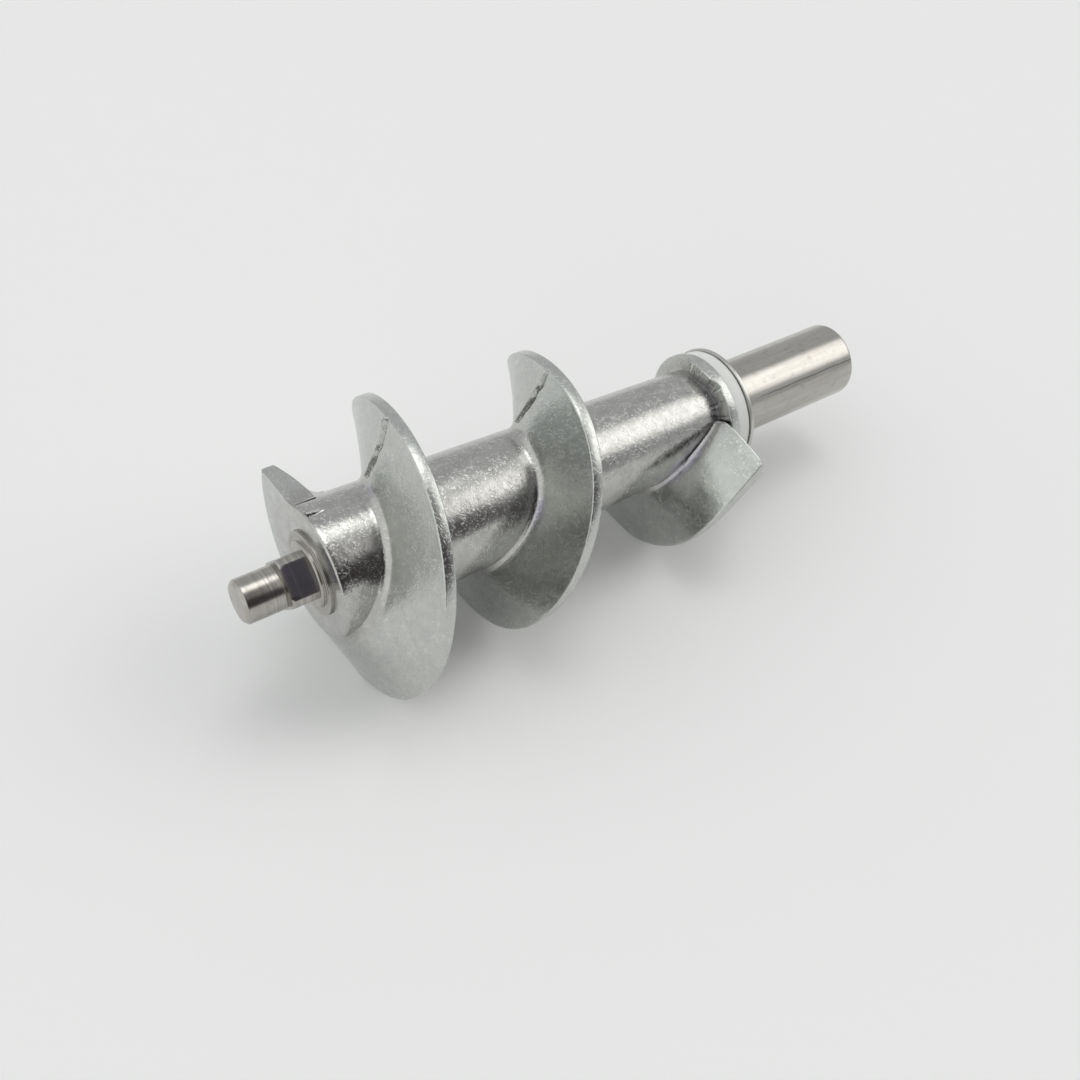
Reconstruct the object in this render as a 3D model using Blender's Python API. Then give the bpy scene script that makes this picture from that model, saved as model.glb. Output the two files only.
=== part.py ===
# Auger of a household meat grinder: a zinc-plated cast screw on a turned steel shaft,
# with a plastic and a steel thrust washer at its collar. Lying at rest, metres, +Z up.
#
# Every piece is drawn along its own axis first: x runs from the tip of the front pin to the
# end of the drive tail, and a turn of 0 degrees faces -Y, 90 degrees faces +Z. The empty
# auger_axis then lays the whole auger down on the rims of its flight.
import math
import bpy
import bmesh
import numpy as np
from mathutils import Matrix, Vector

MM = 0.001

# Shaft
PIN_R = 4.0
PIN_LENGTH = 7.6
PIN_CHAMFER = 0.65
SQUARE_ACROSS = 8.6
SQUARE_CORNER_R = 5.35
SQUARE_LENGTH = 4.8
SQUARE_TURN = -3.0
RING_R = 6.1
RING_LENGTH = 0.7
SHAFT_R = 7.74
SHAFT_EDGE = 0.3
SMALL_EDGE = 0.2
TAIL_LENGTH = 33.2

# Drive socket in the end of the tail
SOCKET_ACROSS = 8.0
SOCKET_DEPTH = 12.0
SOCKET_LEAD_IN = 0.6

# Gap between pieces that touch
CLEARANCE = 0.3

# Core of the cast screw, with a collar at its rear. The casting has some spare metal in front,
# which facing takes off.
CORE_SET_BACK = 0.6
CORE_FRONT_R = 12.21
CORE_TAPER = 0.0324
CORE_EDGE = 0.4
FACING_SPARE = 3.0
COLLAR_R = 12.43
COLLAR_WIDTH = 1.37

# Path of the flight's rim: a left-hand helix whose lead grows towards the rear. It advances
# in two surges a turn, because each half of the mould draws off along one direction, and its
# last stretch curls back along the axis to the collar, the more so the further out it lies.
# Lengths along the axis, turns in degrees.
RIM_AT_ZERO = 13.4
LEAD = 23.8
LEAD_GROWTH = 6.5
SURGE = 1.1
SURGE_GROWTH = 1.3
SURGE_TURN = -46.0
SWAY = 1.0
SWAY_TURN = -35.0
CURL_FROM = 620.0
CURL_REACH = 13.7
CURL_HOLLOW = 1.5
END_TURN = 681.0
END_SPARE = 13.0
END_TO_COLLAR = 1.4

# Radius of the rim: it eases up from the horn to full size, then tapers off to the rear.
# The full size would be reached at this place behind the core's front.
HORN_R = 20.4
HORN_TURN = -255.0
FULL_TURN = -150.0
RIM_R_REAR = 22.0
RIM_R_FROM = 7.3
RIM_R_EXTRA = 4.6
RIM_R_FADE = 38.0
END_R_DROP = 0.05

# Horn at the front: the rim climbs from the core in a concave ramp
RAMP_FROM, RAMP_TO = -291.0, -257.0

# Section of the flight. LEANS gives how far the root of the front face lies ahead of the
# helix at the turns where that lean is greatest or least. A low section rounds its rim by no
# more than a share of its height.
LAND = 2.1
LAND_END_EXTRA = 2.3
LAND_GROWS_FROM = 560.0
LAND_GROWS_OVER = 130.0
LEANS = ((-260, 4.8), (-150, 5.9), (-30, 3.0), (50, 4.3), (300, 1.2), (405, 5.2), (630, 0.1), (690, 2.6))
REAR_LEAN = 2.0
ROOT_DEPTH = 0.6
ROOT_FILLET = 1.3
REAR_FILLET = 2.2
RIM_EDGE = 0.3
RIM_EDGE_MOST = 0.3

# Sloping step in front of the collar, left by one half of the mould
SHOULDER_FROM, SHOULDER_TO = -30.0, 48.0
SHOULDER_LENGTH = 2.1
SHOULDER_RIM = 0.7

# Thrust washers
PLASTIC_R, PLASTIC_THICK, PLASTIC_EDGE = 11.95, 2.75, 0.2
STEEL_R, STEEL_THICK, STEEL_EDGE = 12.3, 0.6, 0.12

# Rest: the front and rear turns of the rim each have a small dressed flat, and the auger
# lies on the two, with this turn facing down
REST_TURN = -138.0
REST_FLAT_DEPTH = 0.3

# Places along the axis that follow from the sizes above
SQUARE_END = PIN_LENGTH + SQUARE_LENGTH
RING_END = SQUARE_END + RING_LENGTH
CORE_FRONT = RING_END + CORE_SET_BACK
BORE_R = SHAFT_R + CLEARANCE

# Fineness: turns between sections of the flight and of the horn's ramp, the shares of a face's
# height at which a section has a point (closer in the fillet), and facets round a turned piece
FLIGHT_STEP = 12
RAMP_SECTIONS = 6
LEAST_STEP = 1.0
FACE_HEIGHTS = (0, 0.06, 0.13, 0.25, 0.6, 1)
CASTING_STEPS = 32
SHOULDER_STEPS = 8
TURN_STEPS = 64


def ease(share):
    """Smooth step from 0 to 1."""
    share = min(max(share, 0.0), 1.0)
    return share * share * (3 - 2 * share)


def front_lean(turn):
    """How far the root of the front face lies ahead of the helix."""
    if turn <= LEANS[0][0]:
        return LEANS[0][1]
    for (turn_a, lean_a), (turn_b, lean_b) in zip(LEANS, LEANS[1:]):
        if turn <= turn_b:
            return lean_a + (lean_b - lean_a) * ease((turn - turn_a) / (turn_b - turn_a))
    return LEANS[-1][1]


def helix(turn):
    """Place along the axis that the flight's front reaches at a turn."""
    turns = turn / 360
    surge = (SURGE + SURGE_GROWTH * turns) * math.sin(2 * math.radians(turn - SURGE_TURN))
    sway = SWAY * math.cos(math.radians(turn - SWAY_TURN))
    return CORE_FRONT + RIM_AT_ZERO + LEAD * turns + LEAD_GROWTH * turns**2 + surge - sway


def curl(turn):
    """How far the rim has curled back along the axis."""
    return CURL_REACH * (max(0.0, turn - CURL_FROM) / (END_TURN - CURL_FROM)) ** 3


def rim_front(turn):
    """Front edge of the rim: the helix, then the curl back to the collar."""
    return helix(min(turn, CURL_FROM)) + curl(turn)


def land_width(turn):
    grown = max(0.0, turn - LAND_GROWS_FROM) / LAND_GROWS_OVER
    return LAND + LAND_END_EXTRA * grown**3


def rim_radius(turn):
    x = rim_front(turn)
    full = RIM_R_REAR + RIM_R_EXTRA * math.exp((CORE_FRONT + RIM_R_FROM - x) / RIM_R_FADE)
    full -= END_R_DROP * max(0.0, x - helix(CURL_FROM))
    return HORN_R + (full - HORN_R) * ease((turn - HORN_TURN) / (FULL_TURN - HORN_TURN))


FLIGHT_END = rim_front(END_TURN)
COLLAR_FRONT = FLIGHT_END + END_TO_COLLAR
COLLAR_BACK = COLLAR_FRONT + COLLAR_WIDTH
PLASTIC_FRONT = COLLAR_BACK + CLEARANCE
STEEL_FRONT = PLASTIC_FRONT + PLASTIC_THICK + CLEARANCE
TAIL_END = STEEL_FRONT + STEEL_THICK + TAIL_LENGTH

REST_TURNS = (REST_TURN, REST_TURN + 720)
REST_X = [rim_front(turn) + land_width(turn) / 2 for turn in REST_TURNS]
REST_R = [rim_radius(turn) - REST_FLAT_DEPTH for turn in REST_TURNS]
REST_SLOPE = (REST_R[1] - REST_R[0]) / (REST_X[1] - REST_X[0])


def rest_distance(x):
    """Distance of the resting plane from the axis."""
    return REST_R[0] + REST_SLOPE * (x - REST_X[0])


def dressed(radius, x, turn):
    """Radius of the rim once the resting plane has taken off what stands past it."""
    off_down = math.cos(math.radians(turn - REST_TURN))
    return min(radius, rest_distance(x) / off_down) if off_down > 0 else radius


def core_radius(x):
    return CORE_FRONT_R - CORE_TAPER * (x - CORE_FRONT)


def at_turn(x, radius, turn):
    a = math.radians(turn)
    return Vector((x, -radius * math.cos(a), radius * math.sin(a))) * MM


def new_object(name, mesh_maker, material):
    bm = bmesh.new()
    mesh_maker(bm)
    bmesh.ops.recalc_face_normals(bm, faces=bm.faces)
    mesh = bpy.data.meshes.new(name)
    bm.to_mesh(mesh)
    bm.free()
    mesh.shade_smooth()
    mesh.set_sharp_from_angle(angle=math.radians(32))
    if material:
        mesh.materials.append(material)
    obj = bpy.data.objects.new(name, mesh)
    bpy.context.scene.collection.objects.link(obj)
    obj.parent = AXIS
    return obj


def metal_or_plastic(name, colour, roughness, metallic):
    mat = bpy.data.materials.new(name)
    mat.use_nodes = True
    bsdf = mat.node_tree.nodes["Principled BSDF"]
    bsdf.inputs["Base Color"].default_value = (*colour, 1.0)
    bsdf.inputs["Roughness"].default_value = roughness
    bsdf.inputs["Metallic"].default_value = metallic
    mat.diffuse_color = (*colour, 1.0)
    return mat


def turned(bm, profile, steps=TURN_STEPS, closed=False):
    """Turn a profile of (x, radius) about the axis. A closed profile makes a ring."""
    rings = []
    for x, r in profile:
        if r < 1e-6:
            rings.append([bm.verts.new(Vector((x, 0, 0)) * MM)])
        else:
            rings.append([bm.verts.new(at_turn(x, r, 360.0 * k / steps)) for k in range(steps)])
    pairs = list(zip(rings, rings[1:]))
    if closed:
        pairs.append((rings[-1], rings[0]))
    for a, b in pairs:
        for k in range(steps):
            n = (k + 1) % steps
            if len(a) == 1:
                bm.faces.new((a[0], b[k], b[n]))
            elif len(b) == 1:
                bm.faces.new((a[k], b[0], a[n]))
            else:
                bm.faces.new((a[k], b[k], b[n], a[n]))


def prism(bm, outline, x0, x1):
    """Straight bar along the axis from an outline of (y, z)."""
    front = [bm.verts.new(Vector((x0, y, z)) * MM) for y, z in outline]
    back = [bm.verts.new(Vector((x1, y, z)) * MM) for y, z in outline]
    bm.faces.new(front)
    bm.faces.new(list(reversed(back)))
    for k in range(len(outline)):
        n = (k + 1) % len(outline)
        bm.faces.new((front[k], back[k], back[n], front[n]))


def swept(bm, sections):
    """Closed solid through a row of sections with the same number of points."""
    rows = [[bm.verts.new(p) for p in section] for section in sections]
    count = len(rows[0])
    for a, b in zip(rows, rows[1:]):
        for k in range(count):
            n = (k + 1) % count
            bm.faces.new((a[k], b[k], b[n], a[n]))
    bm.faces.new(rows[0])
    bm.faces.new(list(reversed(rows[-1])))


def flight_section(turn):
    """Section of the flight at one turn, as (x, radius), from the front root to the rear root."""
    rim_x = rim_front(turn)
    rim_r = rim_radius(turn)
    root_x = helix(turn) - front_lean(turn)
    core = core_radius(min(rim_x, COLLAR_FRONT))
    root = core - ROOT_DEPTH
    land = land_width(turn)
    height = rim_r - core
    top = rim_r
    if turn < RAMP_TO:
        climb = max(0.0, turn - RAMP_FROM) / (RAMP_TO - RAMP_FROM)
        top = core + (rim_r - core) * climb**2 if turn > RAMP_FROM else core - ROOT_DEPTH / 2

    def front(r):
        up = max(0.0, (r - core) / height)
        foot = max(0.0, 1 - (r - core) / (2 * ROOT_FILLET)) ** 2
        straight = root_x + (rim_x - curl(turn) - root_x) * up
        return straight + curl(turn) * up**CURL_HOLLOW - ROOT_FILLET * foot

    def rear(r):
        foot = max(0.0, 1 - (r - core) / (2 * REAR_FILLET)) ** 2
        return rim_x + land + REAR_LEAN * (rim_r - r) / height + REAR_FILLET * foot

    front_top = dressed(top, rim_x, turn)
    rear_top = dressed(top, rim_x + land, turn)
    edge = min(RIM_EDGE, RIM_EDGE_MOST * (top - root))
    section = [(front(r), r) for r in (root + (front_top - edge - root) * h for h in FACE_HEIGHTS)]
    section += [(front(front_top) + edge, front_top), (rear(rear_top) - edge, rear_top)]
    section += [(rear(r), r) for r in (root + (rear_top - edge - root) * h for h in reversed(FACE_HEIGHTS))]
    return section


def flight_turns():
    """Turns at which the flight gets a section."""
    start = RAMP_FROM - FLIGHT_STEP / 2
    stop = END_TURN + END_SPARE
    count = round((stop - start) / FLIGHT_STEP)
    turns = {start + (stop - start) * k / count for k in range(count + 1)}
    # finer where the rim climbs up the horn, and at both edges of each dressed flat
    turns |= {RAMP_FROM + (RAMP_TO - RAMP_FROM) * k / RAMP_SECTIONS for k in range(1, RAMP_SECTIONS + 1)}
    for turn, radius in zip(REST_TURNS, REST_R):
        half = math.degrees(math.acos(radius / (radius + REST_FLAT_DEPTH)))
        turns |= {turn - half, turn, turn + half}
    kept = []
    for turn in sorted(turns):
        if not kept or turn - kept[-1] > LEAST_STEP:
            kept.append(turn)
    return kept


def make_flight(bm):
    swept(bm, [[at_turn(x, r, t) for x, r in flight_section(t)] for t in flight_turns()])
    cut = bmesh.ops.bisect_plane(bm, geom=bm.verts[:] + bm.edges[:] + bm.faces[:], dist=1e-7,
                                 plane_co=(FLIGHT_END * MM, 0, 0), plane_no=(1, 0, 0), clear_outer=True)
    rim = [e for e in cut["geom_cut"] if isinstance(e, bmesh.types.BMEdge)]
    bmesh.ops.holes_fill(bm, edges=rim, sides=0)


def make_core(bm):
    """Tapered tube with the collar at its rear end, bored for the shaft."""
    e = CORE_EDGE
    turned(bm, [
        (CORE_FRONT - FACING_SPARE, BORE_R), (CORE_FRONT - FACING_SPARE, CORE_FRONT_R - e),
        (CORE_FRONT, CORE_FRONT_R - e), (CORE_FRONT + e, core_radius(CORE_FRONT + e)),
        (COLLAR_FRONT, core_radius(COLLAR_FRONT)), (COLLAR_FRONT, COLLAR_R - e / 2),
        (COLLAR_FRONT + e / 2, COLLAR_R), (COLLAR_BACK - e / 2, COLLAR_R),
        (COLLAR_BACK, COLLAR_R - e / 2), (COLLAR_BACK, BORE_R),
    ], CASTING_STEPS, closed=True)


def make_shoulder(bm):
    """Sloping step that one mould half leaves in front of the collar."""
    front = COLLAR_FRONT - SHOULDER_LENGTH
    back = COLLAR_FRONT + COLLAR_WIDTH / 2
    low = core_radius(front) - ROOT_DEPTH
    top = COLLAR_R - CORE_EDGE
    sections = []
    for k in range(SHOULDER_STEPS + 1):
        turn = SHOULDER_FROM + (SHOULDER_TO - SHOULDER_FROM) * k / SHOULDER_STEPS
        sections.append([at_turn(x, r, turn) for x, r in (
            (front, low), (COLLAR_FRONT - SHOULDER_RIM, top), (back, top), (back, low))])
    swept(bm, sections)


def make_shaft(bm):
    e = SHAFT_EDGE
    turned(bm, [
        (0, 0), (0, PIN_R - PIN_CHAMFER), (PIN_CHAMFER, PIN_R), (PIN_LENGTH, PIN_R),
        (PIN_LENGTH, SQUARE_CORNER_R - e), (PIN_LENGTH + e, SQUARE_CORNER_R),
        (SQUARE_END, SQUARE_CORNER_R), (SQUARE_END, RING_R - SMALL_EDGE), (SQUARE_END + SMALL_EDGE, RING_R),
        (RING_END, RING_R), (RING_END, SHAFT_R - SMALL_EDGE), (RING_END + SMALL_EDGE, SHAFT_R),
        (TAIL_END - e, SHAFT_R), (TAIL_END, SHAFT_R - e), (TAIL_END, 0),
    ])


def polygon(sides, across, turn):
    r = across / 2 / math.cos(math.pi / sides)
    angles = [math.radians(turn) + 2 * math.pi * (k + 0.5) / sides for k in range(sides)]
    return [(-r * math.cos(a), r * math.sin(a)) for a in angles]


def make_square_cutter(bm):
    """Everything round the square: a wide ring bar with a square hole, over the square's length."""
    hole = polygon(4, SQUARE_ACROSS, SQUARE_TURN)
    outside = polygon(4, 3 * SHAFT_R, SQUARE_TURN)
    x0, x1 = PIN_LENGTH, SQUARE_END
    loops = [[bm.verts.new(Vector((x, y, z)) * MM) for y, z in pts]
             for x, pts in ((x0, outside), (x0, hole), (x1, hole), (x1, outside))]
    for a, b in zip(loops, loops[1:] + loops[:1]):
        for k in range(4):
            n = (k + 1) % 4
            bm.faces.new((a[k], b[k], b[n], a[n]))


def make_socket_cutter(bm):
    outline = polygon(6, SOCKET_ACROSS, SQUARE_TURN)
    wide = polygon(6, SOCKET_ACROSS + 2 * SOCKET_LEAD_IN, SQUARE_TURN)
    rows = [[bm.verts.new(Vector((x, y, z)) * MM) for y, z in pts] for x, pts in (
        (TAIL_END - SOCKET_DEPTH, outline), (TAIL_END - SOCKET_LEAD_IN, outline),
        (TAIL_END, wide), (TAIL_END + SOCKET_LEAD_IN, wide))]
    for a, b in zip(rows, rows[1:]):
        for k in range(6):
            n = (k + 1) % 6
            bm.faces.new((a[k], b[k], b[n], a[n]))
    bm.faces.new(rows[0])
    bm.faces.new(list(reversed(rows[-1])))


def washer(x0, thick, radius, edge):
    def make(bm):
        x1 = x0 + thick
        turned(bm, [(x0, BORE_R), (x0, radius - edge), (x0 + edge, radius),
                    (x1 - edge, radius), (x1, radius - edge), (x1, BORE_R)], closed=True)
    return make


def combine(obj, other, operation):
    mod = obj.modifiers.new(operation.title() + " " + other.name, "BOOLEAN")
    mod.operation = operation
    mod.object = other
    mod.solver = "EXACT"
    other.hide_render = True
    other.display_type = "WIRE"


for old in list(bpy.data.objects):
    bpy.data.objects.remove(old, do_unlink=True)

AXIS = bpy.data.objects.new("auger_axis", None)
bpy.context.scene.collection.objects.link(AXIS)

zinc = metal_or_plastic("zinc_plate", (0.62, 0.64, 0.63), 0.32, 1.0)
steel = metal_or_plastic("turned_steel", (0.56, 0.53, 0.49), 0.28, 1.0)
white = metal_or_plastic("white_plastic", (0.86, 0.88, 0.88), 0.45, 0.0)
thin_steel = metal_or_plastic("washer_steel", (0.60, 0.60, 0.59), 0.30, 1.0)

# The cast screw: core, flight and shoulder are one casting, faced off flat at the front
screw = new_object("cast_screw", make_core, zinc)
combine(screw, new_object("flight_form", make_flight, None), "UNION")
combine(screw, new_object("shoulder_form", make_shoulder, None), "UNION")
facing_outline = polygon(4, 3 * HORN_R, 0)
facing = new_object("facing_cut", lambda bm: prism(bm, facing_outline, -CORE_FRONT, CORE_FRONT), None)
combine(screw, facing, "DIFFERENCE")

shaft = new_object("drive_shaft", make_shaft, steel)
combine(shaft, new_object("square_cut", make_square_cutter, None), "DIFFERENCE")
combine(shaft, new_object("socket_cut", make_socket_cutter, None), "DIFFERENCE")

plastic = new_object("plastic_washer", washer(PLASTIC_FRONT, PLASTIC_THICK, PLASTIC_R, PLASTIC_EDGE), white)
thin = new_object("steel_washer", washer(STEEL_FRONT, STEEL_THICK, STEEL_R, STEEL_EDGE), thin_steel)

# Lay the auger on its two flats, then bring the middle of its box over the origin
AXIS.matrix_world = (Matrix.Rotation(-math.atan(REST_SLOPE), 4, "Y")
                     @ Matrix.Rotation(math.radians(REST_TURN + 90), 4, "X"))
bpy.context.view_layer.update()
depsgraph = bpy.context.evaluated_depsgraph_get()
corners = np.array([piece.matrix_world @ vertex.co for piece in (screw, shaft, plastic, thin)
                    for vertex in piece.evaluated_get(depsgraph).data.vertices])
low, high = corners.min(axis=0), corners.max(axis=0)
to_origin = Matrix.Translation((-(low[0] + high[0]) / 2, -(low[1] + high[1]) / 2, -low[2]))
AXIS.matrix_world = to_origin @ AXIS.matrix_world
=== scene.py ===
# Looks of the meat grinder auger: a bright zinc-plated casting with a pebbled skin, a turned
# steel shaft, and a white and a steel thrust washer, in soft studio light on a pale floor.
#
# Every piece is drawn along the auger's own axis: x runs from the tip of the front pin to the
# end of the tail, and a turn of 0 degrees faces -Y of that frame. LAY places it in the frame.
# Sizes are in millimetres and turns in degrees, and MM takes a size to metres.
import math
import bpy
import bmesh
from mathutils import Matrix, Vector, noise


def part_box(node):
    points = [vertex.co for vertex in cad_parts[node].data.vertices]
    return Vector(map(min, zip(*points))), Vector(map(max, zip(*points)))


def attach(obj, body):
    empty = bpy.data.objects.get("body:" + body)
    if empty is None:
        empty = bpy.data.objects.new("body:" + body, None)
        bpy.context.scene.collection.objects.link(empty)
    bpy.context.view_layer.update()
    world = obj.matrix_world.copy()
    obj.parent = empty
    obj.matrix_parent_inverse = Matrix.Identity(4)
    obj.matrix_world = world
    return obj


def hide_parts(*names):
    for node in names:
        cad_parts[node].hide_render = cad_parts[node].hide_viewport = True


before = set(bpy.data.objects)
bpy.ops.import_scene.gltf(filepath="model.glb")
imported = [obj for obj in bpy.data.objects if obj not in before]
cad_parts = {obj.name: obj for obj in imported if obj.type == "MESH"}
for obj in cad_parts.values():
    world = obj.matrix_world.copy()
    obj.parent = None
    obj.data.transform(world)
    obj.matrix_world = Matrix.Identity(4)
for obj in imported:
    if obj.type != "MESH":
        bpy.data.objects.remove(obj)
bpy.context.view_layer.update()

MM = 0.001

# Shaft, as in the solids
PIN_R = 4.0
PIN_LENGTH = 7.6
PIN_CHAMFER = 0.65
SQUARE_ACROSS = 8.6
SQUARE_CORNER_R = 5.35
SQUARE_LENGTH = 4.8
SQUARE_TURN = -3.0
RING_R = 6.1
RING_LENGTH = 0.7
SHAFT_R = 7.74
TAIL_LENGTH = 33.2
SOCKET_ACROSS = 8.0
SOCKET_DEPTH = 12.0
SOCKET_LEAD_IN = 0.6
CLEARANCE = 0.3

# Core and collar, as in the solids
CORE_SET_BACK = 0.6
CORE_FRONT_R = 12.21
CORE_TAPER = 0.0324
CORE_EDGE = 0.4
COLLAR_R = 12.43
COLLAR_WIDTH = 1.37

# Path, radius and section of the flight, as in the solids
RIM_AT_ZERO = 13.4
LEAD = 23.8
LEAD_GROWTH = 6.5
SURGE = 1.1
SURGE_GROWTH = 1.3
SURGE_TURN = -46.0
SWAY = 1.0
SWAY_TURN = -35.0
CURL_FROM = 620.0
CURL_REACH = 13.7
CURL_HOLLOW = 1.5
END_TURN = 681.0
END_TO_COLLAR = 1.4
HORN_R = 20.4
HORN_TURN = -255.0
FULL_TURN = -150.0
RIM_R_REAR = 22.0
RIM_R_FROM = 7.3
RIM_R_EXTRA = 4.6
RIM_R_FADE = 38.0
END_R_DROP = 0.05
RAMP_FROM, RAMP_TO = -291.0, -257.0
LAND = 2.1
LAND_END_EXTRA = 2.3
LAND_GROWS_FROM = 560.0
LAND_GROWS_OVER = 130.0
LEANS = ((-260, 4.8), (-150, 5.9), (-30, 3.0), (50, 4.3), (300, 1.2), (405, 5.2), (630, 0.1), (690, 2.6))
REAR_LEAN = 2.0
ROOT_FILLET = 1.3
REAR_FILLET = 2.2
RIM_EDGE = 0.3
# Most of a low flight's height that a fillet or an edge takes
FILLET_SHARE, EDGE_SHARE = 0.6, 0.3
# The front edge's rounding fades over this turn before the ramp
EDGE_FADE = 8.0

# The photo's horn fills out later than the solid's, and its ramp is wider towards the core
HORN_SLIM = 1.8
RAMP_SPREAD = 1.5
RAMP_SPREAD_TO, RAMP_SPREAD_OVER = -222.0, 30.0

# Washers, and the turn that the auger rests on, as in the solids
PLASTIC_R, PLASTIC_THICK = 11.95, 2.75
STEEL_R, STEEL_THICK = 12.3, 0.6
REST_TURN = -138.0
REST_FLAT_DEPTH = 0.3

SQUARE_END = PIN_LENGTH + SQUARE_LENGTH
RING_END = SQUARE_END + RING_LENGTH
CORE_FRONT = RING_END + CORE_SET_BACK

# Trim of the shaft: the groove behind the pin, the square's and the ring's edges, the groove
# round the ring as (radius, depth), and the tail's end
NECK_DEPTH = 0.12
NECK_FROM, NECK_TO = 0.45, 0.35
PIN_ROUNDING = 0.15
SQUARE_EDGE_R, SQUARE_EDGE = 0.35, 0.3
RING_EDGE_R, RING_EDGE = 0.3, 0.25
RING_GROOVE = ((6.75, 0), (6.85, 0.12), (7.0, 0.12), (7.1, 0))
RING_ROUNDING = 0.12
TAIL_EDGE = 0.75
TAIL_FACE_R = 6.0
SOCKET_CONE = 1.5

# Rounding of the washers' edges
PLASTIC_EDGE = 0.2
STEEL_EDGE = 0.12

# The collar's rough step: turn, and how far its inner and outer edges stand ahead of the collar
STEP_EDGES = ((-54, 0, 0), (-49, 1.1, 0.4), (-28, 1.1, 0.45), (-17, 0.9, 0.5), (7, 0.9, 0.5), (13, 1.0, 0.1),
              (19, 1.1, 0.6), (24, 1.3, 1.35), (42, 1.7, 1.35), (51, 1.7, 1.35), (54, 0, 0))
# Roughness of its facets, and the depth from which the step has all of it
STEP_ROUGH = 0.3
STEP_FULL = 0.5
# Its section: how far it runs on under the core, its upright foot, and its middle as a share of its height
STEP_AHEAD = 1.0
STEP_FOOT_FROM, STEP_FOOT = 0.02, 0.5
STEP_MIDDLE = 0.55
COLLAR_EDGE = 0.12
COLLAR_ROUNDING = 0.14

# The solids' rim has flat facets, so the round one here is drawn a hair smaller
RIM_TRIM = 0.07

# A flight lower than this has no parting ridge
LOWEST_FACE = 0.02

# Fineness of the meshes
ROW_STEP = 1.5
ROWS_APART = 0.05
FLIGHT_STOP = 705.0
CHANNEL_POINTS = 16
FACE_POINTS = 22
ARC_POINTS = 5
ROUND_STEPS = 180
COLLAR_STEPS = 480
FACE_RINGS = (9.2, 10.6)
FACE_RING_INSIDE = 0.1
SHARP_ANGLE = 34.0

# A surface ends this far outside the shaft that runs through it, or this far under the core
BORE_GAP = 0.05
SUNK = 0.05
# Radius at which a turned end closes on the axis
CLOSED_R = 0.02

# Parting line of the mould. It crosses each turn at PARTING_TURN and leaves a torn ridge with
# a crevice beside it, which on the face of a flight drifts on round the auger towards the root.
PARTING_TURN = 47.0
PARTING_BEFORE, PARTING_AFTER = 6.0, 32.0
PARTING_STEP = 0.35
PARTING_DRIFT = 5.2
DRIFT_BEND = 2.2
DRIFT_FROM_R, DRIFT_OVER_R = 10.5, 13.5
RIDGE_HEIGHT = 0.5
RIDGE_WIDTH = 0.32
CREVICE = 0.8
# In widths of the ridge
CREVICE_OFF, CREVICE_WIDTH = 1.5, 0.7
# How far the ridge wanders sideways, coarsely and finely, and how much its strength varies
TEAR_COARSE, TEAR_FINE = 0.6, 0.12
STRENGTH, STRENGTH_VARIES = 1.05, 0.4
# Share of the ridge's height that is left on the core, where it starts as a burr
SEAM_LEFT = 0.04
BURR, BURR_FROM, BURR_FADE = 0.75, 1.2, 1.3
# Share of the ridge on the rim, on its front edge and across its middle, and each one's place
# along the ridge, far from the face's
RIM_BEAD, RIM_DIP = 0.6, 0.3
BEAD_WANDER, DIP_WANDER = 40.0, 55.0


def ease(share):
    """Share from 0 to 1 that starts and ends gently."""
    share = min(max(share, 0.0), 1.0)
    return share * share * (3 - 2 * share)


def front_lean(turn):
    """How far the flight's front root stands ahead of its rim."""
    if turn <= LEANS[0][0]:
        return LEANS[0][1]
    for (turn_a, lean_a), (turn_b, lean_b) in zip(LEANS, LEANS[1:]):
        if turn <= turn_b:
            return lean_a + (lean_b - lean_a) * ease((turn - turn_a) / (turn_b - turn_a))
    return LEANS[-1][1]


def helix(turn):
    """Place along the axis of the rim's front edge, without the curl of its last stretch."""
    turns = turn / 360
    surge = (SURGE + SURGE_GROWTH * turns) * math.sin(2 * math.radians(turn - SURGE_TURN))
    sway = SWAY * math.cos(math.radians(turn - SWAY_TURN))
    return CORE_FRONT + RIM_AT_ZERO + LEAD * turns + LEAD_GROWTH * turns**2 + surge - sway


def curl(turn):
    return CURL_REACH * (max(0.0, turn - CURL_FROM) / (END_TURN - CURL_FROM)) ** 3


def rim_front(turn):
    return helix(min(turn, CURL_FROM)) + curl(turn)


def land_width(turn):
    grown = max(0.0, turn - LAND_GROWS_FROM) / LAND_GROWS_OVER
    return LAND + LAND_END_EXTRA * grown**3


def rim_radius(turn):
    x = rim_front(turn)
    full = RIM_R_REAR + RIM_R_EXTRA * math.exp((CORE_FRONT + RIM_R_FROM - x) / RIM_R_FADE)
    full -= END_R_DROP * max(0.0, x - helix(CURL_FROM))
    return HORN_R + (full - HORN_R) * ease((turn - HORN_TURN) / (FULL_TURN - HORN_TURN)) ** HORN_SLIM


FLIGHT_END = rim_front(END_TURN)
COLLAR_FRONT = FLIGHT_END + END_TO_COLLAR
COLLAR_BACK = COLLAR_FRONT + COLLAR_WIDTH
PLASTIC_FRONT = COLLAR_BACK + CLEARANCE
STEEL_FRONT = PLASTIC_FRONT + PLASTIC_THICK + CLEARANCE
TAIL_END = STEEL_FRONT + STEEL_THICK + TAIL_LENGTH

REST_TURNS = (REST_TURN, REST_TURN + 720)
REST_X = [rim_front(turn) + land_width(turn) / 2 for turn in REST_TURNS]
REST_R = [rim_radius(turn) - REST_FLAT_DEPTH for turn in REST_TURNS]
REST_SLOPE = (REST_R[1] - REST_R[0]) / (REST_X[1] - REST_X[0])


def dressed(radius, x, turn):
    """The radius, cut by the plane that the auger rests on."""
    off_down = math.cos(math.radians(turn - REST_TURN))
    plane = REST_R[0] + REST_SLOPE * (x - REST_X[0])
    return min(radius, plane / off_down) if off_down > 0 else radius


def core_radius(x):
    return CORE_FRONT_R - CORE_TAPER * (x - CORE_FRONT)


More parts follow.
